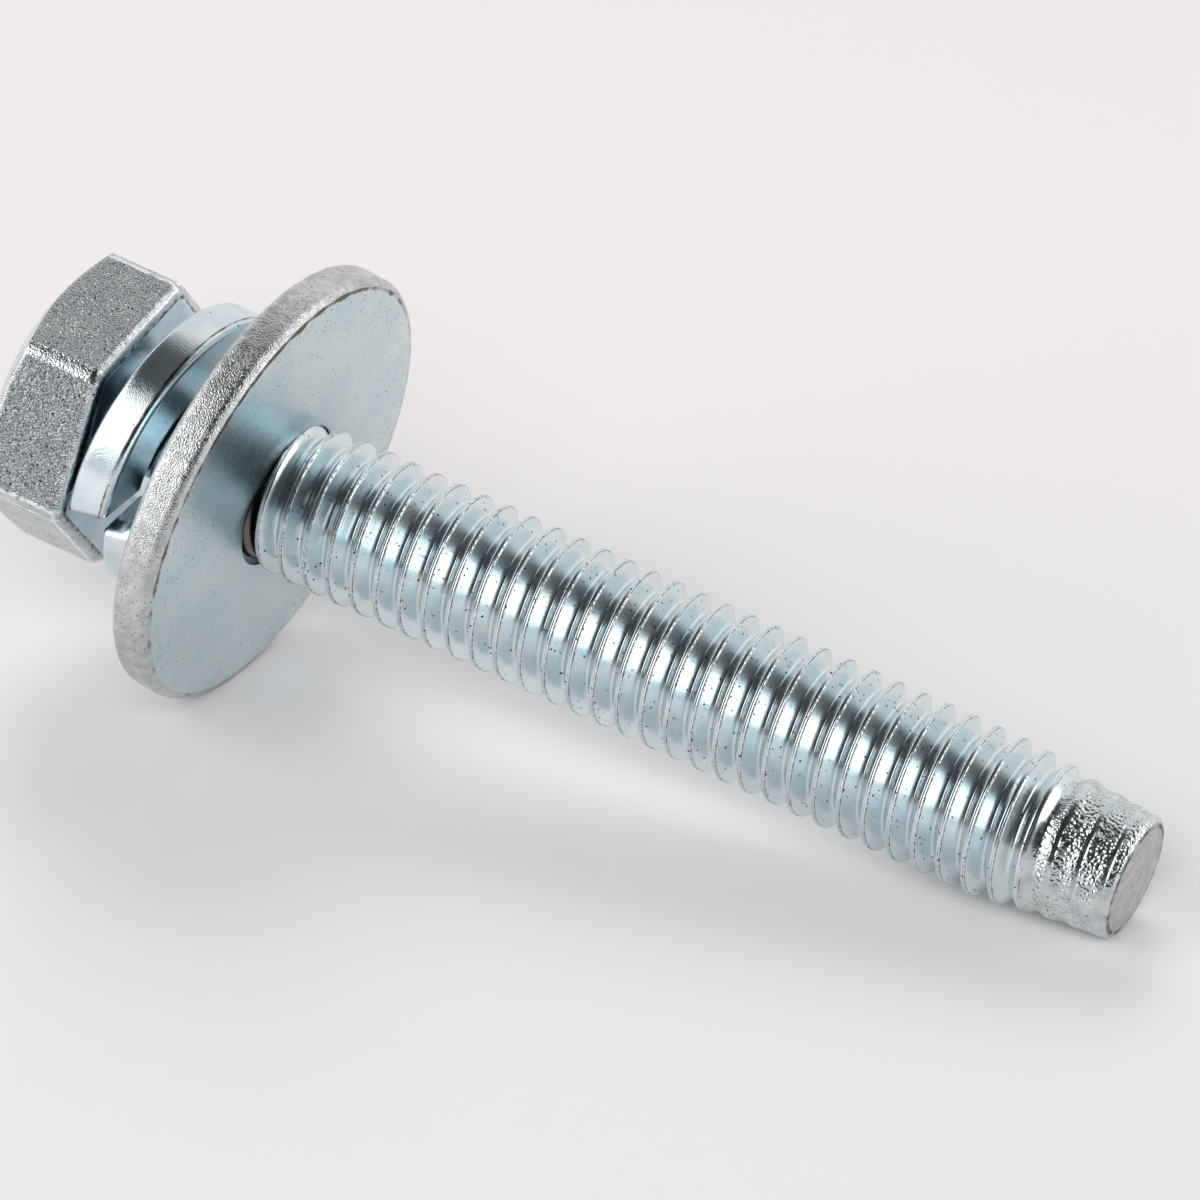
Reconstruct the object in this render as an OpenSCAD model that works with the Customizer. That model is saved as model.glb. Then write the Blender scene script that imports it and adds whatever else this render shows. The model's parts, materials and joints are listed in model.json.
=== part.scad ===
// Hex-head machine bolt with a captive split lock washer and a captive flat washer.
// The bolt stands on its head: Z runs along the shank, from the top of the head up to the point.

/* [Head] */
// Width across the flats of the hexagon
head_af = 10; // [9.5:0.05:11]
// Height of the head, from its top to the face under it
head_h = 4; // [3.5:0.05:5]
// Turn of the hexagon's corners about the shank, in degrees
head_turn = 20; // [0:1:60]
// Diameter over the rounded corners of the hexagon
head_corner_d = 11.3; // [10.8:0.05:11.4]
// Diameter of the flat disc on top of the head
head_top_d = 8.2; // [7:0.1:9.4]
// Slope of the turned chamfer round the top, in degrees
head_chamfer_angle = 29; // [20:1:40]
// Width of the bevel along the lower edge of each flat
head_bevel = 0.45; // [0.1:0.05:0.6]

/* [Thread] */
// Diameter over the thread crests
thread_d = 5.85; // [5.7:0.01:6]
// Distance from one crest to the next
thread_pitch = 1; // [0.9:0.05:1.1]
// Depth of the groove, from crest to root
thread_depth = 0.56; // [0.45:0.01:0.6]
// Width of the flat along the crest
crest_w = 0.13; // [0.08:0.01:0.2]
// Length of the bolt, from under the head to the end of the point
bolt_length = 41; // [30:0.5:60]
// Radius of the fillet between the shank and the head
neck_fillet = 0.25; // [0.1:0.05:0.35]
// Turns over which the crests rise inside the flat washer's hole, and past it
rise_inside = 0.6; // [0.4:0.1:1]
rise_past = 0.8; // [0.4:0.1:1.5]
// Turns over which the crests sink before the point, and on it
sink_before = 1.9; // [1:0.1:3]
sink_past = 1.4; // [0.5:0.1:1.6]

/* [Point] */
// Length of the plain point past the last full turn
point_length = 3.4; // [2.5:0.1:5]
// Diameter of the point where the thread fades out
point_base_d = 4.96; // [4.85:0.01:5]
// Diameter of the flat end face's edge
point_end_d = 4.68; // [4.5:0.01:4.84]
// Radius of the rounded edge round the end face
point_edge_r = 0.35; // [0.05:0.05:0.4]

/* [Lock washer] */
// Outside diameter of the lock washer
lock_d = 11; // [10:0.1:12]
// Thickness of the wire section along the shank
lock_t = 1.6; // [1.2:0.05:2]
// Offset along the shank between the two ends at the split
lock_rise = 1.6; // [0.8:0.05:2]
// Bevel on the edges of the wire section
lock_bevel = 0.24; // [0.1:0.01:0.3]
// Play between the shank and the lock washer, all round
lock_play = 0.36; // [0.25:0.01:0.6]
// Place of the split round the shank, in degrees
lock_split_angle = 314; // [0:1:359]
// Width of the split, measured along the rim
lock_split_w = 0.45; // [0.3:0.05:1.5]
// Slant of the cut through the wire, in degrees
lock_cut_slant = 18; // [0:1:30]

/* [Flat washer] */
// Outside diameter of the flat washer
flat_d = 17.2; // [15:0.1:20]
// Thickness of the flat washer at its rim
flat_t = 1.55; // [1:0.05:2]
// Play between the shank and the flat washer, all round
flat_play = 0.2; // [0.18:0.01:0.25]
// Radius of the rounded edges of the rim
flat_rim_r = 0.4; // [0.1:0.01:0.45]
// Radius of the rounded edges of the hole
flat_hole_r = 0.36; // [0.34:0.01:0.45]
// Height of the land round the hole over the rim of the front face
flat_crown = 0.28; // [0.05:0.01:0.4]
// Diameter of that land
flat_land_d = 9.2; // [8:0.1:14]

/* [Washer stack] */
// Lean of the loose washers on the shank, in degrees
washer_lean = 4.1; // [0:0.1:5]
// Running gap between the lock washer and the head where they are closest
seat_gap = 0.05; // [0.03:0.01:0.2]
// Free play between the lock washer and the flat washer
stack_float = 0.8; // [0.05:0.05:0.9]
// Height of the first crest over the flat washer's rim
first_crest = 0.27; // [0.2:0.01:0.4]

/* [Hidden] */
$fn = 96;
eps = 0.01;

zinc_blue = "#c3ced3";
zinc_pale = "#cdd6da";
zinc_grey = "#b9c3c6";

// Thread section: half the crest flat, and one flank's share of the pitch
crest_half = crest_w / 2;
flank_angle = 30;
flank_w = thread_depth * tan(flank_angle);
crest_r = thread_d / 2;
root_r = crest_r - thread_depth;
// A rolled thread is raised from a blank of its middle diameter
shank_r = crest_r - thread_depth / 2;
tip_z = head_h + bolt_length;

// Washers, each leaning about a point of the shank's axis at its own middle
lock_r = lock_d / 2;
lock_bore_r = shank_r + lock_play;
lock_h = lock_t + lock_rise;
lock_z = head_h + seat_gap + lock_r * sin(washer_lean) + lock_h / 2 * cos(washer_lean);
flat_bore_r = shank_r + flat_play;
flat_z = lock_z + (lock_h / 2 + stack_float + flat_t / 2) / cos(washer_lean);
flat_front_z = flat_z + flat_t / 2 / cos(washer_lean);

// The crests rise out of the blank inside the flat washer's hole, and sink back on the point
hole_front_z = flat_front_z + flat_crown;
rise_from = hole_front_z - rise_inside * thread_pitch;
rise_to = hole_front_z + rise_past * thread_pitch;
point_z = tip_z - point_length;
sink_from = point_z - sink_before * thread_pitch;
sink_to = point_z + sink_past * thread_pitch;
// Radius of the helix where it is buried in the blank or in the point, and just under the blank's skin
buried_depth = 0.05;
skin_depth = 0.03;
buried_r = root_r - buried_depth;
skin_r = shank_r - skin_depth;
// Turns over which the blank and the point run into the thread roots
fade_turns = 0.6;

// The helix: steps in a turn, its first crest's place and its length in steps
turn_steps = 24;
helix_phase = 180;
buried_turns = 2;
helix_z = flat_front_z + first_crest - (buried_turns + helix_phase / 360) * thread_pitch;
helix_end_z = tip_z - point_length / 2;
helix_steps = floor((helix_end_z - helix_z) / thread_pitch * turn_steps);
// Heights of the section's corners over the middle of the crest: crest, crest, root, root
section_z = [-crest_half, crest_half, crest_half + flank_w, thread_pitch - crest_half - flank_w];

// Share from 0 to 1 of the way from a to b
function share(x, a, b) = max(0, min(1, (x - a) / (b - a)));

// Radius of the crest at a height: buried, rising, full, sinking, buried
function crest_at(z) =
    z < rise_to
        ? buried_r + (skin_r - buried_r) * share(z, rise_from - thread_pitch, rise_from)
            + (crest_r - skin_r) * share(z, rise_from, rise_to)
        : crest_r + (buried_r - crest_r) * share(z, sink_from, sink_to);

// Radius of the root at a height: it drops to the buried radius with the crest
function root_at(z) = min(root_r, crest_at(z) - eps);

// One corner of the thread's section, j of 0 to 3, after i steps along the helix
function thread_corner(i, j) =
    let (
        angle = i * 360 / turn_steps,
        z = helix_z + thread_pitch * i / turn_steps + section_z[j],
        r = j < 2 ? crest_at(z) : root_at(z)
    )
    [r * cos(angle), r * sin(angle), z];

// The threaded rod as one helical band, closed at each end by a fan to the axis
module thread_rod() {
    corners = [for (i = [0:helix_steps], j = [0:3]) thread_corner(i, j)];
    low_axis = len(corners);
    high_axis = low_axis + 1;
    last_turn = helix_steps - turn_steps;
    function at(i, j) = j < 4 ? 4 * i + j : 4 * (i + turn_steps);
    // The band's free borders: round the first turn and down the first section, and so at the end
    low_border = concat(
        [for (i = [0:turn_steps]) at(i, 0)],
        [for (j = [3:-1:0]) at(0, j)]
    );
    high_border = concat(
        [for (i = [last_turn:helix_steps]) at(i, 3)],
        [for (j = [2:-1:0]) at(helix_steps, j)],
        [at(last_turn, 3)]
    );
    points = concat(
        corners,
        [[0, 0, helix_z + thread_pitch / 2], [0, 0, helix_end_z - thread_pitch / 2]]
    );
    side_faces = [
        for (i = [0:helix_steps - 1], j = [0:3])
            if (j < 3 || i < last_turn)
                each [
                    [at(i, j), at(i, j + 1), at(i + 1, j)],
                    [at(i + 1, j), at(i, j + 1), at(i + 1, j + 1)]
                ]
    ];
    low_faces = [
        for (k = [0:len(low_border) - 2]) [low_border[k], low_border[k + 1], low_axis]
    ];
    high_faces = [
        for (k = [0:len(high_border) - 2]) [high_border[k + 1], high_border[k], high_axis]
    ];
    polyhedron(points, concat(side_faces, low_faces, high_faces), convexity = 10);
}

// The head's turned outline: the chamfer round its top, and the land over its corners
module head_turning() {
    land_r = head_corner_d / 2;
    chamfer_z = (land_r - head_top_d / 2) * tan(head_chamfer_angle);
    rotate_extrude()
        polygon([
            [0, 0],
            [head_top_d / 2, 0],
            [land_r, chamfer_z],
            [land_r, head_h],
            [0, head_h]
        ]);
}

// The bevels along the lower edges of the six flats
module flat_bevels() {
    for (k = [0:5])
        rotate(60 * k + 30)
            translate([head_af / 2 - head_bevel, -head_af, head_h])
                rotate([0, 45, 0])
                    cube([2 * head_af, 2 * head_af, 2 * head_af]);
}

module head() {
    rotate(head_turn)
        difference() {
            intersection() {
                cylinder(d = head_af / cos(30), h = head_h, $fn = 6);
                head_turning();
            }
            flat_bevels();
        }
}

// The plain blank under the head, running into the thread roots
module blank() {
    fade_to = rise_from + fade_turns * thread_pitch;
    rotate_extrude()
        difference() {
            polygon([
                [0, head_h - neck_fillet],
                [shank_r + neck_fillet, head_h - neck_fillet],
                [shank_r + neck_fillet, head_h + neck_fillet],
                [shank_r, head_h + neck_fillet],
                [shank_r, rise_from],
                [buried_r - eps, fade_to],
                [0, fade_to]
            ]);
            translate([shank_r + neck_fillet, head_h + neck_fillet]) circle(neck_fillet);
        }
}

// The plain point past the thread, slightly tapered to its flat end
module point() {
    fade_z = point_z - fade_turns * thread_pitch;
    edge_r = point_edge_r;
    rotate_extrude() {
        polygon([
            [0, fade_z],
            [buried_r - eps, fade_z],
            [point_base_d / 2, point_z],
            [point_end_d / 2, tip_z - edge_r],
            [point_end_d / 2 - edge_r, tip_z - edge_r],
            [point_end_d / 2 - edge_r, tip_z],
            [0, tip_z]
        ]);
        translate([point_end_d / 2 - edge_r, tip_z - edge_r])
            intersection() {
                circle(edge_r);
                square(edge_r);
            }
    }
}

module hex_bolt() {
    color(zinc_blue)
        union() {
            head();
            blank();
            thread_rod();
            point();
        }
}

// The lock washer's wire section, as [radius, height] round the bevelled rectangle
lock_section = [
    [lock_bore_r + lock_bevel, 0],
    [lock_r - lock_bevel, 0],
    [lock_r, lock_bevel],
    [lock_r, lock_t - lock_bevel],
    [lock_r - lock_bevel, lock_t],
    [lock_bore_r + lock_bevel, lock_t],
    [lock_bore_r, lock_t - lock_bevel],
    [lock_bore_r, lock_bevel]
];
coil_steps = 64;
split_span = lock_split_w / lock_r * 180 / PI;
coil_span = 360 - split_span;

// A corner of the wire section, k steps along the coil, on a cut slanted through the wire.
// The coil leaves the head as it turns away from the split against the thread's sense.
function coil_corner(k, corner) =
    let (
        slant = (corner[1] - lock_t / 2) * tan(lock_cut_slant) / lock_r * 180 / PI,
        turned = k / coil_steps * coil_span,
        angle = lock_split_angle - split_span / 2 - turned - slant
    )
    [
        corner[0] * cos(angle),
        corner[0] * sin(angle),
        corner[1] + lock_rise * turned / coil_span
    ];

module lock_washer() {
    sides = len(lock_section);
    points = [for (k = [0:coil_steps], corner = lock_section) coil_corner(k, corner)];
    last = sides * coil_steps;
    skin = [
        for (k = [0:coil_steps - 1], j = [0:sides - 1])
            let (a = sides * k + j, b = sides * k + (j + 1) % sides)
            each [[a, b, a + sides], [a + sides, b, b + sides]]
    ];
    ends = [
        [for (j = [sides - 1:-1:0]) j],
        [for (j = [0:sides - 1]) last + j]
    ];
    color(zinc_pale)
        translate([0, 0, lock_z])
            rotate([0, washer_lean, 0])
                translate([0, 0, -lock_h / 2])
                    polyhedron(points, concat(skin, ends), convexity = 4);
}

// Half the section of the flat washer: round-edged, with a land round its hole that stands proud
module flat_section() {
    outer_r = flat_d / 2;
    land_r = flat_land_d / 2;
    top_z = flat_t + flat_crown;
    hole_edge = flat_bore_r + flat_hole_r;
    rim_edge = outer_r - flat_rim_r;
    polygon([
        [hole_edge, 0],
        [rim_edge, 0],
        [rim_edge, flat_rim_r],
        [outer_r, flat_rim_r],
        [outer_r, flat_t - flat_rim_r],
        [rim_edge, flat_t - flat_rim_r],
        [rim_edge, flat_t],
        [land_r, top_z],
        [hole_edge, top_z],
        [hole_edge, top_z - flat_hole_r],
        [flat_bore_r, top_z - flat_hole_r],
        [flat_bore_r, flat_hole_r],
        [hole_edge, flat_hole_r]
    ]);
    for (z = [flat_rim_r, flat_t - flat_rim_r]) translate([rim_edge, z]) circle(flat_rim_r);
    for (z = [flat_hole_r, top_z - flat_hole_r]) translate([hole_edge, z]) circle(flat_hole_r);
}

module flat_washer() {
    color(zinc_grey)
        translate([0, 0, flat_z])
            rotate([0, washer_lean, 0])
                translate([0, 0, -flat_t / 2])
                    rotate_extrude()
                        flat_section();
}

hex_bolt();
lock_washer();
flat_washer();
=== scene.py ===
"""A zinc plated hexagon bolt with its loose lock washer and flat washer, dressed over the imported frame.

Sizes are in millimetres in the part's own frame: the bolt stands on its head, with +Z along the shank.
"""
import json
import logging
import math
from collections.abc import Callable
from dataclasses import dataclass
from enum import Enum, IntEnum

import bmesh
import bpy
from mathutils import Matrix, Vector, noise


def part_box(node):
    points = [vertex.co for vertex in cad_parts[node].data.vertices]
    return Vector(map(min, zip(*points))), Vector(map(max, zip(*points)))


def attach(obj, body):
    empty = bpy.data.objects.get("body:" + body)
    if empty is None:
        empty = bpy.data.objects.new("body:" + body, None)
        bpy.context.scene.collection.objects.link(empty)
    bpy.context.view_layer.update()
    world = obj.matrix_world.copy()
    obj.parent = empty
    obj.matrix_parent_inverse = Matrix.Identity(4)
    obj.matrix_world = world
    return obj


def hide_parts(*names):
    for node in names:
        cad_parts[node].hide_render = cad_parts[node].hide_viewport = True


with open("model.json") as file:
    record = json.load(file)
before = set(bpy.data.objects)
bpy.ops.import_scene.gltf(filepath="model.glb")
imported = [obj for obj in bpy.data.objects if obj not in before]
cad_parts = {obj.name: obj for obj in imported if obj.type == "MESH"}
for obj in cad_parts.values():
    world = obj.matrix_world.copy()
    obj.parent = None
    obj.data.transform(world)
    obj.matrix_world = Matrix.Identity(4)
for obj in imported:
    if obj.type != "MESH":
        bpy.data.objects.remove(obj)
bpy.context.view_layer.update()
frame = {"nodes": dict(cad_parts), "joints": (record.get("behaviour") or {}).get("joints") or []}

MM = 0.001
UP = Vector((0.0, 0.0, 1.0))
ORIGIN = (0.0, 0.0, 0.0)
# Lengths that count as none: a point on the axis, a doubled point and a point on a face
ON_AXIS = 1e-6
DOUBLED = 1e-5
ON_FACE = 1e-4
# The numbers of a colour mix node's sockets
MIX_FIRST = 6
MIX_SECOND = 7
MIX_RESULT = 2
log = logging.getLogger("bolt")


def share(value: float, start: float, end: float) -> float:
    """Gives the even share, 0 to 1, of the way from start to end."""
    return min(max((value - start) / (end - start), 0.0), 1.0)


def ease(value: float, start: float, end: float) -> float:
    """Gives the share from start to end, slow at both ends."""
    part = share(value, start, end)
    return part * part * (3.0 - 2.0 * part)


def mix(low: float, high: float, part: float) -> float:
    """Gives the value that lies a part of the way from low to high."""
    return low + (high - low) * part


def soft_min(first: float, second: float, width: float) -> float:
    """Gives the lesser of two values, rounded over a width where they meet.

    Args:
        first: One value.
        second: The other value.
        width: How far apart the values may be for the rounding to show.

    Returns:
        A value a little under the lesser one where both are near.
    """
    part = min(max(0.5 + 0.5 * (second - first) / width, 0.0), 1.0)
    return mix(second, first, part) - width * part * (1.0 - part)


class Coat(Enum):
    """The shared effects of the plating, each made once as a shader node group."""

    TONE = "plating_tone"
    SPECKS = "plating_specks"
    GRAIN = "plating_grain"
    EDGE = "plating_edge"


class NodeBoard:
    """Places and wires the nodes of one shader tree."""

    def __init__(self, tree: bpy.types.NodeTree) -> None:
        """Takes the tree that the nodes go into."""
        self.tree = tree

    def add(self, kind: str, wires: dict | None = None, **settings: object) -> bpy.types.Node:
        """Adds a node.

        Args:
            kind: The node's Blender type.
            wires: What goes into its inputs, by name or number: a socket to link, or a value to set.
            settings: The node's own properties.

        Returns:
            The new node.
        """
        node = self.tree.nodes.new(kind)
        for name, value in settings.items():
            setattr(node, name, value)
        for key, value in (wires or {}).items():
            self.feed(node.inputs[key], value)
        return node

    def feed(self, socket: bpy.types.NodeSocket, value: object) -> None:
        """Links a socket into an input, or sets the input to a plain value.

        Args:
            socket: The input.
            value: The socket to link, or the value to set.
        """
        if isinstance(value, bpy.types.NodeSocket):
            self.tree.links.new(value, socket)
        else:
            socket.default_value = value

    def math(
        self, operation: str, first: object, second: object = 0.0, clamp: bool = False
    ) -> bpy.types.NodeSocket:
        """Adds a math node and gives its output socket."""
        node = self.add("ShaderNodeMath", {0: first, 1: second}, operation=operation, use_clamp=clamp)
        return node.outputs[0]

    def slope(self, value: object, rise: float, start: float) -> bpy.types.NodeSocket:
        """Adds a math node that gives a value times a rise, plus a start."""
        node = self.add("ShaderNodeMath", {0: value, 1: rise, 2: start}, operation="MULTIPLY_ADD")
        return node.outputs[0]

    def band(self, value: object, low: float, high: float) -> bpy.types.NodeSocket:
        """Makes a mask that rises smoothly.

        Args:
            value: The socket that the mask follows.
            low: Where the mask is still 0.
            high: Where the mask reaches 1.

        Returns:
            The mask's socket.
        """
        node = self.add(
            "ShaderNodeMapRange",
            {"Value": value, "From Min": low, "From Max": high},
            interpolation_type="SMOOTHSTEP",
        )
        return node.outputs["Result"]

    def blend(self, factor: object, first: object, second: object) -> bpy.types.NodeSocket:
        """Mixes two colours.

        Args:
            factor: The share of the way from the first colour to the second.
            first: The colour where the factor is 0.
            second: The colour where the factor is 1.

        Returns:
            The mixed colour's socket.
        """
        node = self.add("ShaderNodeMix", data_type="RGBA")
        self.feed(node.inputs["Factor"], factor)
        self.feed(node.inputs[MIX_FIRST], first)
        self.feed(node.inputs[MIX_SECOND], second)
        return node.outputs[MIX_RESULT]

    def attribute(self, name: str) -> bpy.types.NodeSocket:
        """Gives the value that a piece's own attribute holds over its surface."""
        node = self.add("ShaderNodeAttribute", attribute_name=name)
        return node.outputs["Fac"]


class CoatGroups:
    """Makes the shader node groups that the finishes share, with the reach of their masks."""

    tint_from: float = 0.36
    tint_full: float = 0.64
    ragged_scale: float = 9.0
    dot_spread: float = 0.56
    dot_least: float = -0.08
    dot_from: float = -0.02
    dot_full: float = 0.06
    line_from: float = 0.95
    line_full: float = 1.25

    def __init__(self) -> None:
        """Makes each group once."""
        self.trees = {
            Coat.TONE: self._tone(),
            Coat.SPECKS: self._specks(),
            Coat.GRAIN: self._grain(),
            Coat.EDGE: self._edge(),
        }

    @staticmethod
    def _start(coat: Coat, inputs: dict, output: str, kind: str) -> tuple[NodeBoard, bpy.types.Node]:
        """Starts a group with its sockets.

        Args:
            coat: Which effect the group makes.
            inputs: The names and socket types of its inputs.
            output: The name of its one output.
            kind: That output's socket type.

        Returns:
            The board that its nodes go on, and its input node.
        """
        tree = bpy.data.node_groups.new(coat.value, "ShaderNodeTree")
        for name, socket_type in inputs.items():
            tree.interface.new_socket(name, in_out="INPUT", socket_type=socket_type)
        tree.interface.new_socket(output, in_out="OUTPUT", socket_type=kind)
        board = NodeBoard(tree)
        return board, board.add("NodeGroupInput")

    def _tone(self) -> bpy.types.NodeTree:
        """Makes the drifting tint of the passivated plating.

        Returns:
            The group's tree.
        """
        inputs = {
            "Place": "NodeSocketVector",
            "Patch": "NodeSocketFloat",
            "Plain": "NodeSocketColor",
            "Tinted": "NodeSocketColor",
        }
        board, given = self._start(Coat.TONE, inputs, "Colour", "NodeSocketColor")
        scale = board.math("DIVIDE", 1.0, given.outputs["Patch"])
        cloud = board.add(
            "ShaderNodeTexNoise",
            {"Vector": given.outputs["Place"], "Scale": scale, "Detail": 4.0, "Roughness": 0.6},
        )
        tinted = board.band(cloud.outputs["Fac"], self.tint_from, self.tint_full)
        colour = board.blend(tinted, given.outputs["Plain"], given.outputs["Tinted"])
        board.add("NodeGroupOutput", {"Colour": colour})
        return board.tree

    def _specks(self) -> bpy.types.NodeTree:
        """Makes the scattered dark specks and pits, as a mask.

        Returns:
            The group's tree.
        """
        inputs = {
            "Place": "NodeSocketVector",
            "Spacing": "NodeSocketFloat",
            "Share": "NodeSocketFloat",
        }
        board, given = self._start(Coat.SPECKS, inputs, "Mask", "NodeSocketFloat")
        scale = board.math("DIVIDE", 1.0, given.outputs["Spacing"])
        ragged = board.add(
            "ShaderNodeTexNoise",
            {"Vector": given.outputs["Place"], "Scale": self.ragged_scale, "Detail": 3.0},
        )
        cells = board.add("ShaderNodeTexVoronoi", {"Vector": given.outputs["Place"], "Scale": scale})
        reach = board.slope(ragged.outputs["Fac"], self.dot_spread, self.dot_least)
        inside = board.math("SUBTRACT", reach, cells.outputs["Distance"])
        dot = board.band(inside, self.dot_from, self.dot_full)
        luck = board.add("ShaderNodeSeparateColor", {"Color": cells.outputs["Color"]})
        drawn = board.math("LESS_THAN", luck.outputs["Red"], given.outputs["Share"])
        board.add("NodeGroupOutput", {"Mask": board.math("MULTIPLY", dot, drawn)})
        return board.tree

    def _grain(self) -> bpy.types.NodeTree:
        """Makes the height of the plating's grain: fine crystals over broader lumps.

        Returns:
            The group's tree.
        """
        inputs = {
            "Place": "NodeSocketVector",
            "Crystal": "NodeSocketFloat",
            "Lump": "NodeSocketFloat",
            "Lump Share": "NodeSocketFloat",
        }
        board, given = self._start(Coat.GRAIN, inputs, "Height", "NodeSocketFloat")
        domes = board.add(
            "ShaderNodeTexVoronoi",
            {
                "Vector": given.outputs["Place"],
                "Scale": board.math("DIVIDE", 1.0, given.outputs["Crystal"]),
            },
        )
        cloud = board.add(
            "ShaderNodeTexNoise",
            {
                "Vector": given.outputs["Place"],
                "Scale": board.math("DIVIDE", 1.0, given.outputs["Lump"]),
                "Detail": 2.0,
                "Roughness": 0.55,
            },
        )
        both = board.add("ShaderNodeMix", {"Factor": given.outputs["Lump Share"]})
        board.feed(both.inputs["A"], board.math("SUBTRACT", 1.0, domes.outputs["Distance"]))
        board.feed(both.inputs["B"], cloud.outputs["Fac"])
        board.add("NodeGroupOutput", {"Height": both.outputs["Result"]})
        return board.tree

    def _edge(self) -> bpy.types.NodeTree:
        """Makes a ragged line along an edge, as a mask, for the dark lines and for the painted highlights.

        Returns:
            The group's tree.
        """
        inputs = {
            "Place": "NodeSocketVector",
            "Edge": "NodeSocketFloat",
            "Break": "NodeSocketFloat",
        }
        board, given = self._start(Coat.EDGE, inputs, "Mask", "NodeSocketFloat")
        scale = board.math("DIVIDE", 1.0, given.outputs["Break"])
        broken = board.add(
            "ShaderNodeTexNoise", {"Vector": given.outputs["Place"], "Scale": scale, "Detail": 3.0}
        )
        ragged = board.math("ADD", given.outputs["Edge"], broken.outputs["Fac"])
        mask = board.band(ragged, self.line_from, self.line_full)
        board.add("NodeGroupOutput", {"Mask": mask})
        return board.tree


Colour = tuple[float, float, float, float]


@dataclass(frozen=True)
class ZincFinish:
    """One finish of the zinc plating, with the sizes of its marks in millimetres."""

    name: str
    plain: Colour
    tinted: Colour
    patch: float
    roughness: float
    rough_spread: float
    crystal: float
    lump: float
    lump_share: float
    height: float
    speck_spacing: float
    speck_share: float
    stretch: float = 1.0
    speck_colour: Colour = (0.05, 0.05, 0.05, 1.0)
    relief: str = ""
    line: str = ""
    line_colour: Colour = (0.12, 0.10, 0.085, 1.0)
    line_break: float = 0.25
    # Marks a colour painted darker over the head's flats round one side.
    darkened_flats: str = ""
    darkened_flats_colour: Colour = (0.36, 0.385, 0.395, 1.0)
    # Marks a painted highlight: a near white line along the head's chamfer edge and bevel.
    painted_highlight: str = ""
    painted_highlight_colour: Colour = (0.94, 0.955, 0.955, 1.0)
    worn: str = ""
    worn_share: float = 0.0
    lay: str = ""
    lay_step: float = 0.03
    lay_height: float = 0.0
    pit_roughness: float = 0.35
    pit_depth: float = 0.5

    def material(self, groups: CoatGroups) -> bpy.types.Material:
        """Makes the finish as a material.

        Args:
            groups: The shared shader node groups.

        Returns:
            The material, with a metallic surface whose tint, gloss and bump vary.
        """
        material = bpy.data.materials.new(self.name)
        material.use_nodes = True
        board = NodeBoard(material.node_tree)
        board.tree.nodes.clear()
        place = board.add("ShaderNodeTexCoord").outputs["Object"]
        in_mm = board.add("ShaderNodeVectorMath", {0: place, "Scale": 1.0 / MM}, operation="SCALE")
        place = in_mm.outputs["Vector"]
        tone = self._group(board, groups, Coat.TONE, {
            "Place": place, "Patch": self.patch, "Plain": self.plain, "Tinted": self.tinted,
        })
        chance = self.speck_share
        if self.worn:
            chance = board.slope(board.attribute(self.worn), self.worn_share, self.speck_share)
        specks = self._group(board, groups, Coat.SPECKS, {
            "Place": place, "Spacing": self.speck_spacing, "Share": chance,
        })
        drawn_out = board.add(
            "ShaderNodeVectorMath", {0: place, 1: (1.0, 1.0, self.stretch)}, operation="MULTIPLY"
        )
        grain = self._group(board, groups, Coat.GRAIN, {
            "Place": drawn_out.outputs["Vector"],
            "Crystal": self.crystal,
            "Lump": self.lump,
            "Lump Share": self.lump_share,
        })
        # Paints the flats round one side of the head darker.
        if self.darkened_flats:
            tone = board.blend(board.attribute(self.darkened_flats), tone, self.darkened_flats_colour)
        colour = board.blend(specks, tone, self.speck_colour)
        rough = board.slope(grain, self.rough_spread, self.roughness - 0.5 * self.rough_spread)
        rough = board.math("ADD", rough, board.math("MULTIPLY", specks, self.pit_roughness))
        # The line colour paints dark lines; the highlight colour is a painted highlight.
        for edge, edge_colour in ((self.line, self.line_colour), (self.painted_highlight, self.painted_highlight_colour)):
            if edge:
                mask = self._group(board, groups, Coat.EDGE, {
                    "Place": place, "Edge": board.attribute(edge), "Break": self.line_break,
                })
                colour = board.blend(mask, colour, edge_colour)
        height = board.math("SUBTRACT", grain, board.math("MULTIPLY", specks, self.pit_depth))
        if self.relief:
            height = board.math("MULTIPLY", height, board.attribute(self.relief))
        if self.lay:
            along = board.math("DIVIDE", board.attribute(self.lay), self.lay_step)
            marks = board.add(
                "ShaderNodeTexNoise", {"W": along, "Scale": 1.0, "Detail": 2.0}, noise_dimensions="1D"
            )
            drawn = board.math("MULTIPLY", marks.outputs["Fac"], self.lay_height / self.height)
            height = board.math("ADD", height, drawn)
        bump = board.add(
            "ShaderNodeBump",
            {"Height": height, "Distance": self.height * MM, "Strength": 1.0},
        )
        shader = board.add("ShaderNodeBsdfPrincipled", {
            "Base Color": colour,
            "Metallic": 1.0,
            "Roughness": rough,
            "Normal": bump.outputs["Normal"],
        })
        board.add("ShaderNodeOutputMaterial", {"Surface": shader.outputs["BSDF"]})
        return material

    @staticmethod
    def _group(board: NodeBoard, groups: CoatGroups, coat: Coat, wires: dict) -> bpy.types.NodeSocket:
        """Places a shared group with its own values.

        Args:
            board: The board of the material.
            groups: The shared shader node groups.
            coat: Which effect is placed.
            wires: What goes into the group's inputs, by name.

        Returns:
            The group's output socket.
        """
        node = board.add("ShaderNodeGroup", node_tree=groups.trees[coat])
        for key, value in wires.items():
            board.feed(node.inputs[key], value)
        return node.outputs[0]


# The flats and the chamfer carry a painted highlight along the head's edges; the flats round one side are
# also painted darker.
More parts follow.
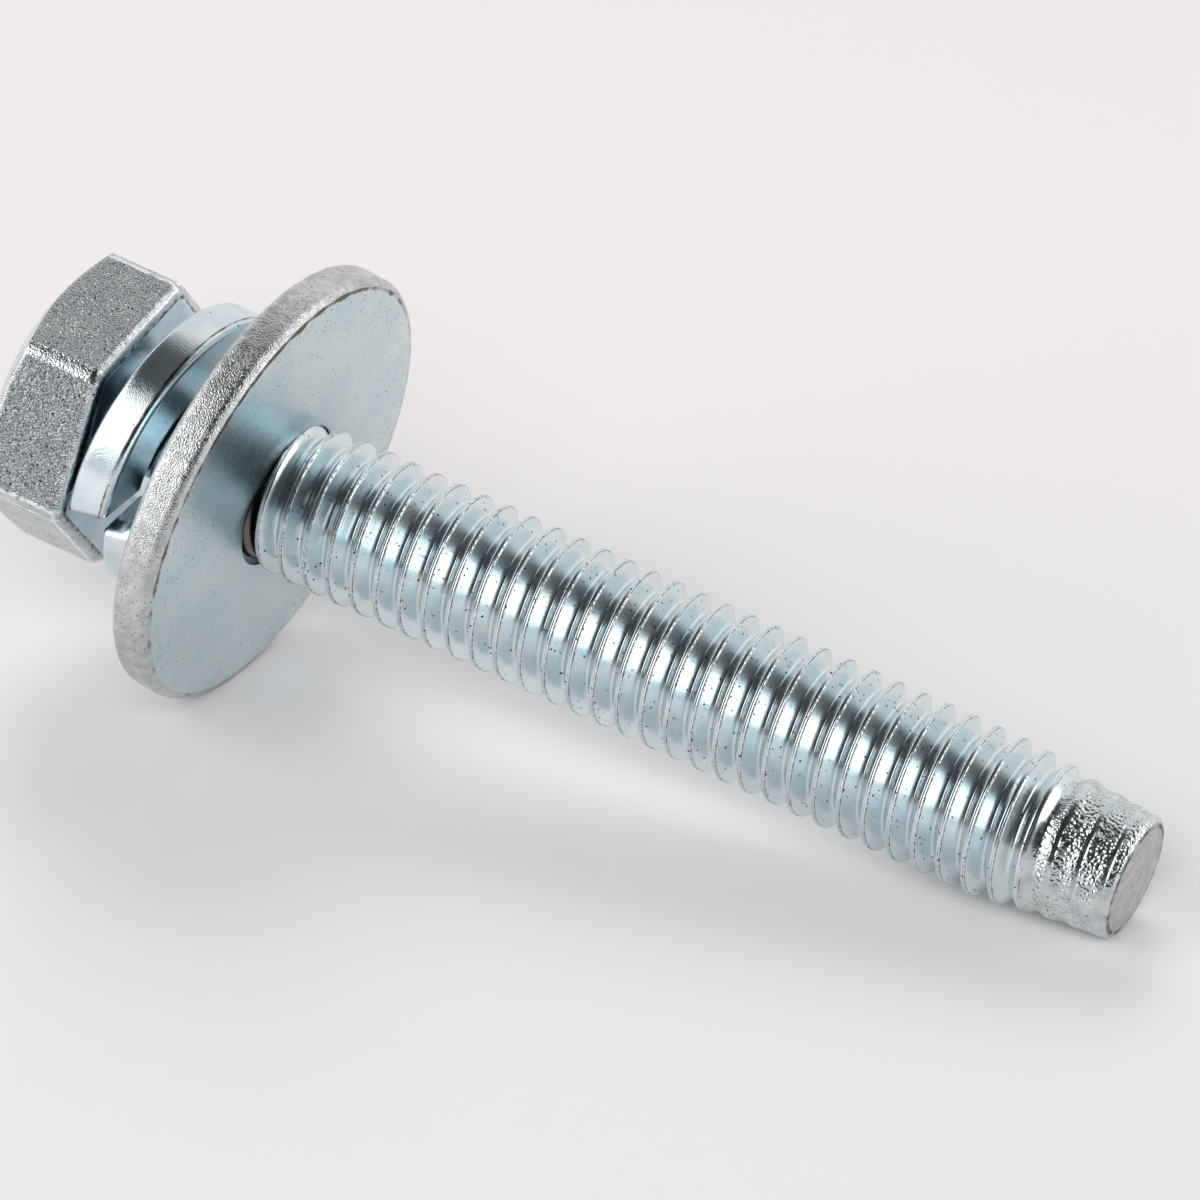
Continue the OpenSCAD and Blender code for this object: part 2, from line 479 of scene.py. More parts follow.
HAMMERED = ZincFinish(
    name="hammered_flat",
    plain=(0.63, 0.665, 0.675, 1.0), tinted=(0.51, 0.555, 0.57, 1.0), patch=1.2,
    roughness=0.2, rough_spread=0.12,
    crystal=0.065, lump=0.12, lump_share=0.5, height=0.11, stretch=0.7,
    speck_spacing=0.2, speck_share=0.5, relief="rough", line="seam_and_shade",
    painted_highlight="painted_highlight",
    darkened_flats="darkened_flats",
)
TURNED = ZincFinish(
    name="turned_chamfer",
    plain=(0.76, 0.775, 0.775, 1.0), tinted=(0.66, 0.69, 0.70, 1.0), patch=1.5,
    roughness=0.26, rough_spread=0.12,
    crystal=0.08, lump=0.25, lump_share=0.4, height=0.012,
    speck_spacing=0.25, speck_share=0.12, line="seam_and_shade", painted_highlight="painted_highlight",
)
UNDER_HEAD = ZincFinish(
    name="under_head",
    plain=(0.66, 0.77, 0.82, 1.0), tinted=(0.54, 0.69, 0.76, 1.0), patch=2.0,
    roughness=0.18, rough_spread=0.06,
    crystal=0.1, lump=0.6, lump_share=0.6, height=0.006,
    speck_spacing=0.6, speck_share=0.05, line="seam_and_shade",
)
# Its dark line colour marks the crests and also paints the shade in the run-out by the washer's hole.
ROLLED = ZincFinish(
    name="rolled_thread",
    plain=(0.75, 0.82, 0.83, 1.0), tinted=(0.66, 0.775, 0.81, 1.0), patch=1.1,
    roughness=0.22, rough_spread=0.05,
    crystal=0.08, lump=0.3, lump_share=0.4, height=0.002,
    speck_spacing=0.22, speck_share=0.26, line="seam_and_shade", line_break=0.1,
    lay="lay", lay_height=0.004,
    line_colour=(0.19, 0.165, 0.145, 1.0),
)
PEBBLED = ZincFinish(
    name="pebbled_point",
    plain=(0.73, 0.765, 0.77, 1.0), tinted=(0.55, 0.61, 0.62, 1.0), patch=0.6,
    roughness=0.2, rough_spread=0.16,
    crystal=0.145, lump=0.3, lump_share=0.12, height=0.06,
    speck_spacing=0.2, speck_share=0.3, relief="rough", line="seam_and_shade",
    speck_colour=(0.2, 0.19, 0.175, 1.0),
    line_break=0.6,
)
SHEARED = ZincFinish(
    name="sheared_end",
    plain=(0.62, 0.625, 0.615, 1.0), tinted=(0.47, 0.485, 0.48, 1.0), patch=0.4,
    roughness=0.45, rough_spread=0.15,
    crystal=0.07, lump=0.2, lump_share=0.5, height=0.03,
    speck_spacing=0.2, speck_share=0.3, line="seam_and_shade",
    speck_colour=(0.24, 0.23, 0.21, 1.0),
    line_break=0.6,
)
BRIGHT_COIL = ZincFinish(
    name="bright_coil",
    plain=(0.74, 0.80, 0.82, 1.0), tinted=(0.62, 0.73, 0.775, 1.0), patch=1.6,
    roughness=0.18, rough_spread=0.08,
    crystal=0.05, lump=0.1, lump_share=0.3, height=0.006,
    speck_spacing=0.2, speck_share=0.06, line="seam_and_shade", line_colour=(0.22, 0.13, 0.085, 1.0),
    line_break=0.5,
)
SATIN_FACE = ZincFinish(
    name="satin_face",
    plain=(0.645, 0.74, 0.76, 1.0), tinted=(0.565, 0.7, 0.735, 1.0), patch=2.4,
    roughness=0.23, rough_spread=0.1,
    crystal=0.06, lump=0.3, lump_share=0.4, height=0.009,
    speck_spacing=0.14, speck_share=0.14, worn="worn", worn_share=0.6, line="seam_and_shade",
    speck_colour=(0.2, 0.195, 0.185, 1.0), line_colour=(0.13, 0.09, 0.065, 1.0),
    line_break=0.7,
)
PITTED_RIM = ZincFinish(
    name="pitted_rim",
    plain=(0.67, 0.69, 0.69, 1.0), tinted=(0.51, 0.535, 0.54, 1.0), patch=0.45,
    roughness=0.21, rough_spread=0.14,
    crystal=0.06, lump=0.16, lump_share=0.12, height=0.024,
    speck_spacing=0.125, speck_share=0.5, line="seam_and_shade",
    speck_colour=(0.13, 0.125, 0.12, 1.0), line_colour=(0.13, 0.09, 0.065, 1.0),
    line_break=0.7,
)


@dataclass(frozen=True)
class Piece:
    """A dressed piece: its name, the CAD node that it stands for, its body and its material slot."""

    name: str
    node: str
    body: str
    slot: str

    def finish(self, shell: bmesh.types.BMesh, materials: list[bpy.types.Material]) -> bpy.types.Object:
        """Turns a shell in millimetres into the piece, on its body.

        Args:
            shell: The finished mesh, which is freed.
            materials: The materials, in the order of the faces' material numbers.

        Returns:
            The new object, at the origin.
        """
        bmesh.ops.scale(shell, vec=(MM, MM, MM), verts=shell.verts)
        for face in shell.faces:
            face.smooth = True
        mesh = bpy.data.meshes.new(self.name)
        shell.to_mesh(mesh)
        shell.free()
        for material in materials:
            mesh.materials.append(material)
        piece = bpy.data.objects.new(self.name, mesh)
        bpy.context.scene.collection.objects.link(piece)
        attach(piece, self.body)
        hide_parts(self.node)
        log.info("%s: %d faces on %s", self.name, len(mesh.polygons), self.body)
        return piece


def outline_face(shell: bmesh.types.BMesh, corners: list[tuple[float, float]]) -> bmesh.types.BMFace:
    """Draws a turned section as one face.

    Args:
        shell: The mesh that the face goes into.
        corners: The section's corners as radius and height, in order.

    Returns:
        The face, in the plane of X and Z.
    """
    return shell.faces.new([shell.verts.new((radius, 0.0, height)) for radius, height in corners])


def round_corner(
    shell: bmesh.types.BMesh, corner: tuple[float, float], radius: float, segments: int
) -> None:
    """Rounds one corner of a section.

    Args:
        shell: The mesh that holds the section.
        corner: The radius and height that the corner is nearest to.
        radius: The radius of the rounding.
        segments: The number of steps in it.
    """
    place = Vector((corner[0], 0.0, corner[1]))
    vertex = min(shell.verts, key=lambda v: (v.co - place).length)
    bmesh.ops.bevel(
        shell, geom=[vertex], offset=radius, offset_type="OFFSET",
        segments=segments, profile=0.5, affect="VERTICES", material=-1,
    )


def refine(shell: bmesh.types.BMesh, step_at: Callable[[Vector], float]) -> None:
    """Cuts every edge of a section into short parts.

    Args:
        shell: The mesh that holds the section.
        step_at: Gives about how long the parts are, by the middle of the edge.
    """
    for edge in list(shell.edges):
        middle = (edge.verts[0].co + edge.verts[1].co) / 2.0
        cuts = int(edge.calc_length() / step_at(middle))
        if cuts:
            bmesh.ops.subdivide_edges(shell, edges=[edge], cuts=cuts)


def turn(shell: bmesh.types.BMesh, steps: int) -> None:
    """Turns a section once round the axis and closes the mesh.

    Args:
        shell: The mesh that holds only the section.
        steps: The number of steps in the turn.
    """
    bmesh.ops.delete(shell, geom=shell.faces[:], context="FACES_ONLY")
    on_axis = [e for e in shell.edges if max(v.co.x for v in e.verts) < ON_AXIS]
    bmesh.ops.delete(shell, geom=on_axis, context="EDGES")
    bmesh.ops.spin(
        shell, geom=shell.verts[:] + shell.edges[:], cent=ORIGIN, axis=UP,
        dvec=ORIGIN, angle=math.tau, steps=steps, use_merge=True,
    )
    bmesh.ops.remove_doubles(shell, verts=shell.verts, dist=DOUBLED)
    bmesh.ops.recalc_face_normals(shell, faces=shell.faces)


def polar(place: Vector) -> tuple[float, float]:
    """Gives a place's radius and its angle round the axis."""
    return math.hypot(place.x, place.y), math.atan2(place.y, place.x)


def at_radius(place: Vector, radius: float) -> Vector:
    """Moves a place straight out or in.

    Args:
        place: The place.
        radius: The radius that it moves to.

    Returns:
        The new place, or the same one where it lies on the axis.
    """
    old, _ = polar(place)
    if old < ON_AXIS:
        return place.copy()
    return Vector((place.x * radius / old, place.y * radius / old, place.z))


class BoltFace(IntEnum):
    """The kinds of the bolt's faces, in the order of its finishes."""

    FLAT = 0
    CHAMFER = 1
    UNDERSIDE = 2
    THREAD = 3
    POINT = 4
    END = 5


@dataclass
class HexBolt:
    """The bolt: a forged hexagon head, a plain blank, a rolled thread and a plain point."""

    head_af: float = 10.0
    head_h: float = 4.0
    head_turn: float = math.radians(20.0)
    land_d: float = 11.3
    top_d: float = 8.2
    chamfer: float = math.radians(29.0)
    bevel: float = 0.45
    crest_d: float = 5.85
    blank_d: float = 5.29
    pitch: float = 1.0
    depth: float = 0.61
    crest_w: float = 0.15
    crest_round: float = 0.045
    root_round: float = 0.1
    crest_groove: float = 0.014
    crest_wobble: float = 0.008
    fold_dark: float = 0.74
    crest_edge_dark: float = 0.64
    top_edge_r: float = 0.25
    neck_r: float = 0.25
    neck_keep: float = 0.6
    corner_r: float = 0.4
    corner_crowding: float = 0.7
    sector: float = math.radians(60.0)
    bevel_rows: int = 8
    flat_sink: float = 0.02
    dents: tuple[tuple[float, float], ...] = ((1.6, 0.02), (4.0, 0.012))
    under_edge_dark: float = 0.7
    bevel_dark: float = 0.65
    bevel_painted_highlight: float = 0.66
    chamfer_painted_highlight: float = 0.68
    coarse_side: float = math.radians(-85.0)
    fine_share: float = 0.5
    join_z: float = 9.3
    rise_z: float = 9.68
    full_z: float = 11.08
    crest_z: float = 10.27
    crest_turn: float = math.pi
    point_length: float = 3.4
    point_base_d: float = 4.96
    point_end_d: float = 4.68
    end_edge_r: float = 0.35
    end_uneven: float = 0.02
    end_ring_dark: float = 0.66
    sink_before: float = 1.8
    sink_past: float = 1.0
    ghost_ridge: float = 0.1
    ghost_past: float = 2.8
    head_steps: int = 360
    thread_steps: int = 56
    piece: Piece = Piece("bolt_forging", "hex_bolt", "bolt", "bolt_zinc")

    def __post_init__(self) -> None:
        """Takes the bolt's length from the frame and works out its radii."""
        self.tip_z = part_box("hex_bolt")[1][2] / MM
        self.crest_r = self.crest_d / 2.0
        self.root_r = self.crest_r - self.depth
        self.shank_r = self.blank_d / 2.0
        self.land_r = self.land_d / 2.0
        self.top_r = self.top_d / 2.0
        self.point_z = self.tip_z - self.point_length
        self.sink_z = self.point_z - self.sink_before * self.pitch
        self.sunk_z = self.point_z + self.sink_past * self.pitch
        self.ghost_z = self.point_z + self.ghost_past * self.pitch

    def build(self, groups: CoatGroups) -> bpy.types.Object:
        """Builds and dresses the bolt.

        Args:
            groups: The shared shader node groups.

        Returns:
            The bolt's piece.
        """
        whole = bmesh.new()
        for part in (self._head(), self._shank()):
            loose = bpy.data.meshes.new("bolt_part")
            part.to_mesh(loose)
            part.free()
            whole.from_mesh(loose)
            bpy.data.meshes.remove(loose)
        rims = [edge for edge in whole.edges if edge.is_boundary]
        for face in bmesh.ops.bridge_loops(whole, edges=rims)["faces"]:
            face.material_index = BoltFace.UNDERSIDE
        bmesh.ops.recalc_face_normals(whole, faces=whole.faces)
        finishes = (HAMMERED, TURNED, UNDER_HEAD, ROLLED, PEBBLED, SHEARED)
        return self.piece.finish(whole, [finish.material(groups) for finish in finishes])

    def _head(self) -> bmesh.types.BMesh:
        """Turns the head's blank with the neck, presses its flats, marks their wear, paints a highlight
        along their edges and paints the flats round one side darker.

        Returns:
            The head, open where the shank joins it.
        """
        shell = bmesh.new()
        chamfer_z = (self.land_r - self.top_r) * math.tan(self.chamfer)
        neck = (self.shank_r, self.head_h)
        edge_rows = [
            (self.land_r, self.head_h - self.bevel * row / self.bevel_rows)
            for row in range(self.bevel_rows, -1, -1)
        ]
        outline_face(shell, [
            (0.0, 0.0), (self.top_r, 0.0), (self.land_r, chamfer_z), *edge_rows,
            neck, (self.shank_r, self.join_z), (0.0, self.join_z),
        ])
        round_corner(shell, (self.top_r, 0.0), self.top_edge_r, 4)
        round_corner(shell, neck, self.neck_r, 6)
        refine(shell, self._row_step)
        lid = [edge for edge in shell.edges if min(v.co.z for v in edge.verts) > self.join_z - ON_AXIS]
        bmesh.ops.delete(shell, geom=lid, context="EDGES")
        turn(shell, self.head_steps)
        rough = shell.verts.layers.float.new("rough")
        seam_and_shade = shell.verts.layers.float.new("seam_and_shade")
        shell.verts.layers.float.new("lay")
        painted_highlight = shell.verts.layers.float.new("painted_highlight")
        darkened_flats = shell.verts.layers.float.new("darkened_flats")
        for vertex in shell.verts:
            vertex[rough], vertex[seam_and_shade], vertex[painted_highlight], vertex[darkened_flats] = self._press(vertex)
        shell.normal_update()
        for face in shell.faces:
            if face.normal.z < -0.6:
                face.material_index = BoltFace.CHAMFER
            elif face.calc_center_median().z > self.head_h - 0.02:
                face.material_index = BoltFace.UNDERSIDE
        return shell

    def _row_step(self, place: Vector) -> float:
        """Gives how far apart the rows of the head's mesh lie.

        Args:
            place: The middle of an edge of the section.

        Returns:
            The step in millimetres, close on the flats and their edges.
        """
        if place.z > self.head_h + self.neck_r:
            return 1.5
        if place.z > self.head_h - ON_FACE:
            return 0.2
        if place.x < self.top_r - 0.3:
            return 0.4
        return 0.09

    def _flat_radius(self, off: float, flat_r: float) -> float:
        """Gives the radius of the hexagon with round corners.

        Args:
            off: The angle from the middle of the nearest flat.
            flat_r: The distance from the axis to the flats.

        Returns:
            The hexagon's radius at that angle.
        """
        off = abs(off)
        middle = flat_r - self.corner_r
        half = self.sector / 2.0
        if flat_r * math.tan(off) <= middle * math.tan(half):
            return flat_r / math.cos(off)
        reach = middle / math.cos(half)
        aside = reach * math.sin(half - off)
        return reach * math.cos(half - off) + math.sqrt(self.corner_r ** 2 - aside ** 2)

    def _press(self, vertex: bmesh.types.BMVert) -> tuple[float, float, float, float]:
        """Presses a vertex of the turned head into the hexagon.

        Args:
            vertex: The vertex, which is moved, also round the axis to crowd the rows at the corners.

        Returns:
            How rough the surface is there, 1 in the middle of a flat, how dark its border is, how bright
            the painted highlight on its edge is, and how much darker the flat is painted.
        """
        radius, angle = polar(vertex.co)
        half = self.sector / 2.0
        first = self.head_turn + half
        nearest = first + round((angle - first) / self.sector) * self.sector
        part = (angle - nearest) / half
        off = half * mix(part, math.sin(part * math.pi / 2.0), self.corner_crowding)
        z = vertex.co.z
        vertex.co = Vector((radius * math.cos(nearest + off), radius * math.sin(nearest + off), z))
        flat_r = self.head_af / 2.0
        if z > self.head_h - ON_FACE:
            kept_r = self.shank_r + self.neck_keep
            if z > self.head_h + ON_FACE or radius < kept_r:
                return 0.0, 0.0, 0.0, 0.0
            edge = min(self._flat_radius(off, flat_r - self.bevel), self.land_r - self.bevel)
            spread = (radius - kept_r) / (self.land_r - kept_r)
            vertex.co = at_radius(vertex.co, mix(kept_r, edge, spread))
            return 0.0, self.under_edge_dark * ease(spread, 0.92, 1.0), 0.0, 0.0
        low = share(z, self.head_h - self.bevel, self.head_h)
        inset = self.bevel * (1.0 - math.sqrt(max(1.0 - low * low, 0.0)))
        pressed = soft_min(radius, self._flat_radius(off, flat_r), 0.1) - inset
        if radius < 0.2:
            return 0.6, 0.0, 0.0, 0.0
        from_corner = (flat_r - self.corner_r) * math.tan(half) - abs(pressed * math.sin(off))
        from_chamfer = z - (pressed - self.top_r) * math.tan(self.chamfer)
        on_flat = ease(from_corner, -0.1, 0.2) * ease(from_chamfer, 0.0, 0.25) * (1.0 - ease(low, 0.0, 0.5))
        dent = sum(noise.noise(vertex.co * density) * depth for density, depth in self.dents)
        vertex.co = at_radius(vertex.co, pressed - on_flat * (self.flat_sink + dent))
        beaten = max(math.cos(nearest - self.coarse_side), 0.0) ** 3
        coarse = mix(self.fine_share, 1.0, beaten) * mix(0.25, 1.0, on_flat)
        # Painted highlight: a bright line where a flat meets the chamfer, and a bright band along the middle
        # of the bevel.
        from_meeting = abs(radius - self._flat_radius(off, flat_r))
        on_chamfer_edge = self.chamfer_painted_highlight * (1.0 - ease(from_meeting, 0.02, 0.08))
        on_bevel = self.bevel_painted_highlight * (1.0 - ease(abs(low - 0.4), 0.1, 0.3))
        border = self.bevel_dark * ease(low, 0.8, 0.97)
        # The last value paints the flats round the coarse side darker.
        return coarse, border, max(on_chamfer_edge, on_bevel), beaten * on_flat

    def _crest_at(self, z: float) -> float:
        """Gives the radius over the crests, which rise from the blank and sink into the point.

        Args:
            z: The height along the bolt.

        Returns:
            The radius in millimetres.
        """
        rising = mix(self.shank_r, self.crest_r, share(z, self.rise_z, self.full_z))
        if z < self.sink_z:
            return rising
        ghost = self.ghost_ridge * (1.0 - share(z, self.sunk_z, self.ghost_z))
        end_r = self._point_at(self.sunk_z) + self.ghost_ridge
        if z < self.sunk_z:
            return mix(self.crest_r, end_r, share(z, self.sink_z, self.sunk_z))
        return self._point_at(z) + ghost

    def _root_at(self, z: float) -> float:
        """Gives the radius at the thread's roots at a height."""
        falling = mix(self.shank_r, self.root_r, share(z, self.rise_z, self.full_z))
        return mix(falling, self._point_at(z), ease(z, self.point_z - 1.5 * self.pitch, self.sunk_z + 0.3))

    def _point_at(self, z: float) -> float:
        """Gives the radius of the plain point at a height."""
        part = share(z, self.point_z, self.tip_z)
        return mix(self.point_base_d, self.point_end_d, part) / 2.0

    def _ridge(self, away: float) -> float:
        """Gives the height of the thread's ridge over its root.

        Args:
            away: The distance along the axis from the middle of a crest.

        Returns:
            The ridge's share of the thread's full depth.
        """
        flank_w = self.depth * math.tan(math.radians(30.0))
        height = self.depth * (1.0 - (away - self.crest_w / 2.0) / flank_w)
        height = soft_min(height, self.depth, self.crest_round)
        height -= self.crest_groove * (1.0 - ease(away, 0.0, 0.04))
        height = -soft_min(-height, 0.0, self.root_round)
        return height / self.depth

    def _shank(self) -> bmesh.types.BMesh:
        """Sweeps one pitch of the thread along the helix, trims it and closes its end.

        Returns:
            The shank, open where the head joins it.
        """
        shell = bmesh.new()
        crest_places = (0.0, 0.022, 0.042, 0.058, 0.074, 0.095, 0.13)
        root_places = (0.2, 0.27, 0.32, 0.355, 0.39, 0.425, 0.455, 0.48)
        aways = crest_places + root_places
        places = list(aways) + [0.5] + [1.0 - away for away in reversed(aways)]
        first_turns = math.ceil((self.crest_z - self.join_z) / self.pitch) + 1
        turns = first_turns + math.ceil((self.tip_z - self.crest_z) / self.pitch) + 1
        start_z = self.crest_z - (first_turns + self.crest_turn / math.tau) * self.pitch
        verts = [shell.verts.new((1.0, 0.0, start_z + away * self.pitch)) for away in places]
        for low, high in zip(verts, verts[1:]):
            shell.edges.new((low, high))
        bmesh.ops.spin(
            shell, geom=shell.verts[:] + shell.edges[:], cent=ORIGIN, axis=UP,
            dvec=(0.0, 0.0, self.pitch / self.thread_steps),
            angle=math.tau, steps=self.thread_steps, use_merge=False,
        )
        made = 1
        while made < turns:
            everything = shell.verts[:] + shell.edges[:] + shell.faces[:]
            copied = bmesh.ops.duplicate(shell, geom=everything)["geom"]
            moved = [item for item in copied if isinstance(item, bmesh.types.BMVert)]
            bmesh.ops.translate(shell, vec=(0.0, 0.0, made * self.pitch), verts=moved)
            made *= 2
        bmesh.ops.remove_doubles(shell, verts=shell.verts, dist=ON_FACE)
        rough = shell.verts.layers.float.new("rough")
        seam_and_shade = shell.verts.layers.float.new("seam_and_shade")
        lay = shell.verts.layers.float.new("lay")
        for head_mark in ("painted_highlight", "darkened_flats"):
            shell.verts.layers.float.new(head_mark)
        for vertex in shell.verts:
            vertex[lay], vertex[seam_and_shade] = self._roll(vertex)
            smooth_ridge = 1.0 - ease(vertex[lay], 0.05, 0.14)
            pebbled = ease(vertex.co.z, self.point_z + 0.1, self.point_z + 0.7)
            vertex[rough] = pebbled * (1.0 - 0.9 * smooth_ridge)
        self._trim(shell, self.join_z + 0.2, low=True)
        self._trim(shell, self.tip_z - self.end_edge_r, low=False)
        self._close_end(shell)
        for face in shell.faces:
            face.material_index = self._shank_face(face)
        return shell

    def _roll(self, vertex: bmesh.types.BMVert) -> tuple[float, float]:
        """Moves a vertex of the swept band to the thread's surface.

        Args:
            vertex: The vertex, which is moved.

        Returns:
            Its distance along the axis from the crest, and how dark the line is there: the crest's fold and
            worn edges, and the painted shade on the run-out by the washer's hole.
        """
        _, angle = polar(vertex.co)
        z = vertex.co.z
        over = (z - self.crest_z) / self.pitch - (angle - self.crest_turn) / math.tau
        past = (over - round(over)) * self.pitch
        crest = self._crest_at(z)
        root = self._root_at(z)
        wobble = self.crest_wobble * noise.noise(at_radius(vertex.co, self.crest_r) * 2.2)
        vertex.co = at_radius(vertex.co, mix(root, crest + wobble, self._ridge(abs(past))))
        threaded = share(crest - root, 0.05, 0.3)
        fold = self.fold_dark * threaded * (1.0 - ease(abs(past), 0.005, 0.03))
        from_edge = abs(past - self.crest_w * 0.55)
        worn_edge = self.crest_edge_dark * threaded * (1.0 - ease(from_edge, 0.01, 0.035))
        # Painted shade: the run-out by the washer's hole is darkened, for the hole's shade and its dark
        # reflection.
        painted_hole_shade = 1.0 - ease(z, self.full_z - 0.95, self.full_z - 0.4)
        return abs(past), max(fold, worn_edge, painted_hole_shade)

    @staticmethod
    def _trim(shell: bmesh.types.BMesh, z: float, low: bool) -> None:
        """Cuts a shell off flat.

        Args:
            shell: The shell.
            z: The height of the cut.
            low: Whether what lies below the cut goes, and not what lies above it.
        """
        bmesh.ops.bisect_plane(
            shell, geom=shell.verts[:] + shell.edges[:] + shell.faces[:], dist=ON_AXIS,
            plane_co=(0.0, 0.0, z), plane_no=UP, clear_outer=not low, clear_inner=low,
        )

    def _close_end(self, shell: bmesh.types.BMesh) -> None:
        """Rounds the edge of the sheared end, paints a dark ring inside the rounding and closes its face.

        Args:
            shell: The shank, trimmed where the rounded edge starts.
        """
        start = self.tip_z - self.end_edge_r
        rim = [edge for edge in shell.edges if edge.is_boundary and edge.verts[0].co.z > start - 0.1]
        seam_and_shade = shell.verts.layers.float["seam_and_shade"]
        arc = [
            (1.0 - math.cos(angle), math.sin(angle))
            for angle in (math.radians(15.0 * step) for step in range(1, 7))
        ]
        rings = [(self.end_edge_r * inward, self.end_edge_r * up) for inward, up in arc]
        rings += [(self.end_edge_r + 0.08, self.end_edge_r)]
        rings += [(self.end_edge_r + 0.3 * step, self.end_edge_r) for step in range(1, 7)]
        for inward, up in rings:
            made = bmesh.ops.extrude_edge_only(shell, edges=rim)["geom"]
            rim = [item for item in made if isinstance(item, bmesh.types.BMEdge) and item.is_boundary]
            for vertex in {v for edge in rim for v in edge.verts}:
                radius = self._point_at(vertex.co.z) - inward
                uneven = self.end_uneven * noise.noise(vertex.co * 1.3) * share(inward, 0.1, 0.4)
                vertex.co = at_radius(Vector((vertex.co.x, vertex.co.y, start + up - abs(uneven))), radius)
                # Paints a dark ring round the inner side of the rounded edge.
                from_dark_ring = abs(inward - self.end_edge_r * 0.8)
                vertex[seam_and_shade] = self.end_ring_dark * (1.0 - ease(from_dark_ring, 0.04, 0.2))
        bmesh.ops.holes_fill(shell, edges=rim, sides=0)

    def _shank_face(self, face: bmesh.types.BMFace) -> BoltFace:
        """Tells what kind of face a face of the shank is.

        Args:
            face: The face.

        Returns:
            Its kind, by its height along the bolt.
        """
        centre = face.calc_center_median()
        if centre.z > self.tip_z - 0.04:
            return BoltFace.END
        if centre.z > self.point_z + 0.1 * self.pitch:
            return BoltFace.POINT
        return BoltFace.THREAD


@dataclass(frozen=True)
class Seat:
    """Where a loose washer lies: the middle of its joint, and the joint's axis."""

    centre: Vector
    axis: Vector

    @classmethod
    def of_joint(cls, name: str) -> "Seat":
        """Reads the seat from the frame's joint of that name."""
        joint = next(joint for joint in frame["joints"] if joint["name"] == name)
        return cls(Vector(joint["pos_m"]) / MM, Vector(joint["axis"]).normalized())

    def lay(self, shell: bmesh.types.BMesh, thickness: float) -> None:
        """Moves a shell to its seat, leaning as the joint's axis does.

        Args:
            shell: The washer, standing on the origin.
            thickness: Its height there.
        """
        lean = UP.rotation_difference(self.axis).to_matrix().to_4x4()
        lift = Matrix.Translation((0.0, 0.0, -thickness / 2.0))
        bmesh.ops.transform(shell, matrix=Matrix.Translation(self.centre) @ lean @ lift, verts=shell.verts)


@dataclass
class LockWasher:
    """The split lock washer: one turn of rectangular wire, sprung open at a slanted cut."""

    outer_d: float = 11.0
    bore_d: float = 6.01
    wire_h: float = 1.6
    rise: float = 1.6
    edge_r: float = 0.24
    split: float = math.radians(314.0)
    split_w: float = 0.07
    slant: float = math.radians(18.0)
    row_step: float = 0.12
    edge_dark: float = 0.75
    steps: int = 144
    piece: Piece = Piece("lock_coil", "lock_washer", "lock_ring", "lock_washer_zinc")

    def build(self, groups: CoatGroups) -> bpy.types.Object:
        """Sweeps the wire once round, lays it on its seat and dresses it.

        Args:
            groups: The shared shader node groups.

        Returns:
            The washer's piece.
        """
        shell = bmesh.new()
        outer = self.outer_d / 2.0
        bore = self.bore_d / 2.0
        corners = [(bore, 0.0), (outer, 0.0), (outer, self.wire_h), (bore, self.wire_h)]
        outline_face(shell, corners)
        for corner in corners:
            round_corner(shell, corner, self.edge_r, 6)
        refine(shell, lambda place: self.row_step)
        seam_and_shade = shell.verts.layers.float.new("seam_and_shade")
        for vertex in shell.verts:
            from_edge = Vector((vertex.co.x - outer, vertex.co.z - (self.wire_h - self.edge_r)))
            vertex[seam_and_shade] = self.edge_dark * (1.0 - ease(from_edge.length, 0.02, 0.12))
            lean = (vertex.co.z - self.wire_h / 2.0) * math.tan(self.slant) / outer
            vertex.co = Matrix.Rotation(-lean, 3, "Z") @ vertex.co
        gap = self.split_w / outer
        bmesh.ops.rotate(
            shell, cent=ORIGIN, matrix=Matrix.Rotation(self.split - gap / 2.0, 3, "Z"),
            verts=shell.verts,
        )
        bmesh.ops.spin(
            shell, geom=shell.verts[:] + shell.edges[:] + shell.faces[:], cent=ORIGIN,
            axis=UP, dvec=(0.0, 0.0, self.rise / self.steps), angle=gap - math.tau,
            steps=self.steps, use_merge=False,
        )
        bmesh.ops.recalc_face_normals(shell, faces=shell.faces)
        Seat.of_joint("lock_washer_spin").lay(shell, self.wire_h + self.rise)
        return self.piece.finish(shell, [BRIGHT_COIL.material(groups)])


